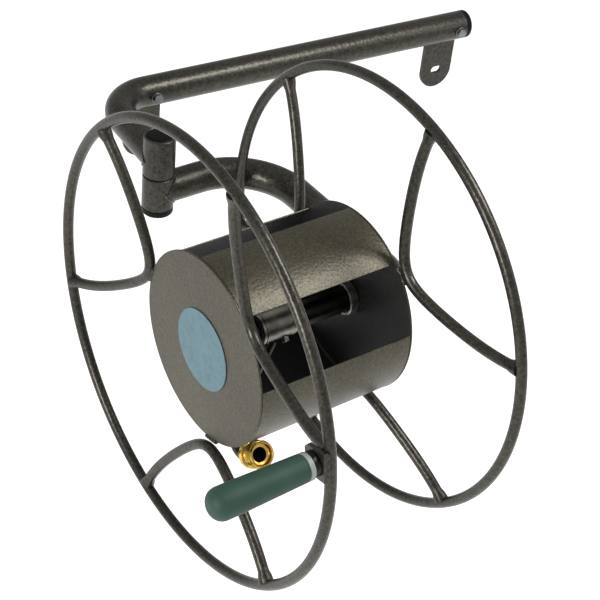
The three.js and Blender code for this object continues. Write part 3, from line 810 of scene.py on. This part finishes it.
def build_outlet():
    mouth = polar(OUTLET["radius"], OUTLET["angle"])
    outward = polar(1, OUTLET["angle"] - 3.5 + 90)
    corner = mouth - outward * 0.044
    start = mouth - outward * (OUTLET["fitting"] - 0.001)
    foot = polar(0.066, -72)
    port = polar(SWIVEL["outer_r"] - 0.002, -72)
    corners = [
        (port.x, port.y, -0.088), (foot.x, foot.y, -OUTLET["depth"]),
        (corner.x, corner.y, -OUTLET["depth"]), (start.x, start.y, -OUTLET["depth"]),
    ]
    pipe = sweep(bend_path(corners, [0.024, 0.012], 10), OUTLET["pipe_r"] - TUBE_TRIM, 32)
    piece("outlet_pipe_look", pipe, REEL, "reel", SPINDLE_STEEL, ["outlet_pipe"])
    turn = Vector((0, 0, 1)).rotation_difference(outward).to_matrix().to_4x4()
    place = REEL @ Matrix.Translation(mouth + Vector((0, 0, -OUTLET["depth"]))) @ turn
    back = -OUTLET["fitting"]
    barrel = [
        (0.0072, back), (0.0114, back), (0.0114, -0.0216), (0.0132, -0.0210), (0.0138, -0.0202),
        (0.0138, -0.0160), (0.0134, -0.0156), (0.0112, -0.0150), (0.0112, -0.0130), (0.0124, -0.0122),
        (0.0124, -0.0010), (0.0118, 0.0), (0.0104, 0.0), (0.0100, -0.0006), (0.0092, -0.0050),
        (0.0072, -0.0056), (0.0072, back),
    ]
    thread = OUTLET_THREAD
    steps = 40
    last = thread["turns"] * steps
    path = [
        polar(thread["r"], 360 * i / steps, thread["first"] - thread["pitch"] * i / steps)
        for i in range(last + 1)
    ]

    def crest(step, angle):
        ends = min(step, last - step) / 14
        return thread["depth"] * min(1.0, 0.25 + ends)
    part = joined(lathe(barrel, 96), sweep(path, crest, 8))
    fitting = piece("outlet_fitting_look", part, place, "reel", BRASS, ["outlet_fitting"])
    # Painted shade: the fitting's bore gets the near-black material
    paint_shade_on(fitting, place, lambda at, normal: math.hypot(at.x, at.y) < 0.0076)


# Crank handle

def build_handle():
    right = PLATE["radial"] / 2
    top = PLATE["along"] / 2
    cut = PLATE["corner"]
    outline = [
        Vector((-right + cut, -top, 0)), Vector((right, -top, 0)), Vector((right, top, 0)),
        Vector((-right + cut, top, 0)), Vector((-right, top - cut, 0)), Vector((-right, -top + cut, 0)),
    ]
    back = ROD_R + FIT
    front = back + PLATE["thickness"]
    plate = extruded(outline, back, front, [circle(0, 0, STUD["r"] + FIT)])
    welds = []
    for offset in (-ROD_R * 0.75, ROD_R * 0.75):
        x = RIM_R + offset - HANDLE["radius"]
        along = [-0.013 + 0.002 * i for i in range(14)]
        seam = [Vector((x - y * y / (2 * RIM_R), y, back - 0.0002)) for y in along]
        welds.append(bead(seam, BEAD_R["handle"], False, x * 900))
    piece("handle_plate_look", joined(plate, *welds), HANDLE_FRAME, "reel", PAINT,
          ["handle_plate"], 0.0005)
    shoulder = front + FIT + STUD["shoulder"]
    ring_back = shoulder + FIT
    grip_back = ring_back + RING + FIT
    tip = grip_back + GRIP["length"]
    stud_r = STUD["r"]
    shoulder_r = STUD["shoulder_r"]
    soft = 0.0005
    stud = [
        (0, back), (stud_r, back), (stud_r, front + FIT), (shoulder_r - soft, front + FIT),
        (shoulder_r, front + FIT + soft), (shoulder_r, shoulder - soft), (shoulder_r - soft, shoulder),
        (stud_r, shoulder), (stud_r, tip - 0.016), (0, tip - 0.015),
    ]
    piece("handle_stud_look", lathe(stud), HANDLE_FRAME, "reel", SPINDLE_STEEL,
          ["handle_stud"])
    ring = tube_profile(GRIP["inner_r"], GRIP["bore_r"], ring_back, ring_back + RING, 0.0009)
    piece("grip_ring_look", lathe(ring), HANDLE_FRAME, "grip", NYLON, ["grip_ring"])
    round_r = GRIP["tip"]
    outer = GRIP["outer_r"] - TRIM
    tip -= TRIM
    tip_round = [
        (outer - round_r + round_r * math.cos(a), tip - round_r + round_r * math.sin(a))
        for a in (math.radians(90 * i / 14) for i in range(15))
    ]
    body = [
        (0, tip - 0.012), (GRIP["bore_r"], tip - 0.013), (GRIP["bore_r"], grip_back),
        (GRIP["inner_r"] - 0.0009, grip_back), (GRIP["inner_r"], grip_back + 0.0009),
        (outer - 0.0002, tip - round_r - 0.018), (outer, tip - round_r - 0.010),
        *tip_round, (0, tip),
    ]
    piece("grip_look", lathe(body, 96), HANDLE_FRAME, "grip", GREEN, ["grip"])


def finish_hidden_nodes():
    """The bushes, pin and nut inside the sleeves keep their CAD shape and get their real finish."""
    finishes = {
        "pivot_bush_lower": NYLON,
        "pivot_bush_upper": NYLON,
        "pivot_pin": ZINC,
        "pivot_nut": ZINC,
    }
    for name, material in finishes.items():
        mesh = frame["nodes"][name].data
        mesh.materials.clear()
        mesh.materials.append(material)


# Studio

def area_light(name, place, aim, size, power):
    data = bpy.data.lights.new(name, "AREA")
    data.shape = "RECTANGLE"
    data.size, data.size_y = size
    data.energy = power
    light = bpy.data.objects.new(name, data)
    light.location = place
    light.rotation_euler = (Vector(aim) - Vector(place)).to_track_quat("-Z", "Y").to_euler()
    bpy.context.scene.collection.objects.link(light)


def build_studio():
    half = FLOOR["half"]
    floor_z = cad_box[0][2] - FLOOR["drop"]
    corners = [(x * half, y * half, floor_z) for x, y in ((-1, -1), (1, -1), (1, 1), (-1, 1))]
    mesh = new_mesh("studio_floor", corners, [(0, 1, 2, 3)])
    floor = bpy.data.objects.new("studio_floor", mesh)
    bpy.context.scene.collection.objects.link(floor)
    ground = Nodes("pale_floor", 0.9)
    pale = [(0.0, (0.93, 0.93, 0.93)), (1.0, (0.95, 0.95, 0.95))]
    tone = ground.ramp(ground.noise(3.0, 2.0), pale)
    ground.shader.inputs["Emission Color"].default_value = (1, 1, 1, 1)
    ground.shader.inputs["Emission Strength"].default_value = FLOOR["glow"]
    mesh.materials.append(ground.finish(tone))
    world = bpy.data.worlds.new("studio")
    world.use_nodes = True
    background = world.node_tree.nodes["Background"]
    background.inputs["Color"].default_value = (1, 1, 1, 1)
    background.inputs["Strength"].default_value = WORLD_STRENGTH
    bpy.context.scene.world = world
    bpy.context.scene.view_settings.view_transform = "Standard"
    low, high = cad_box
    middle = ((low[0] + high[0]) / 2, (low[1] + high[1]) / 2, 0)
    for name, (place, size, power) in LIGHTS.items():
        area_light(name, place, middle, size, power)


def build_camera():
    data = bpy.data.cameras.new("camera")
    data.lens = CAMERA_LENS
    data.sensor_width = CAMERA_SENSOR
    camera = bpy.data.objects.new("camera", data)
    ahead = CAMERA_RIGHT.cross(CAMERA_DOWN)
    camera.matrix_world = axes(CAMERA_RIGHT, -CAMERA_DOWN, -ahead, Vector(CAMERA_AT))
    bpy.context.scene.collection.objects.link(camera)
    bpy.context.scene.camera = camera


build_camera()
build_studio()
build_bracket()
build_arm()
build_reel()
build_swivel()
build_outlet()
build_handle()
finish_hidden_nodes()
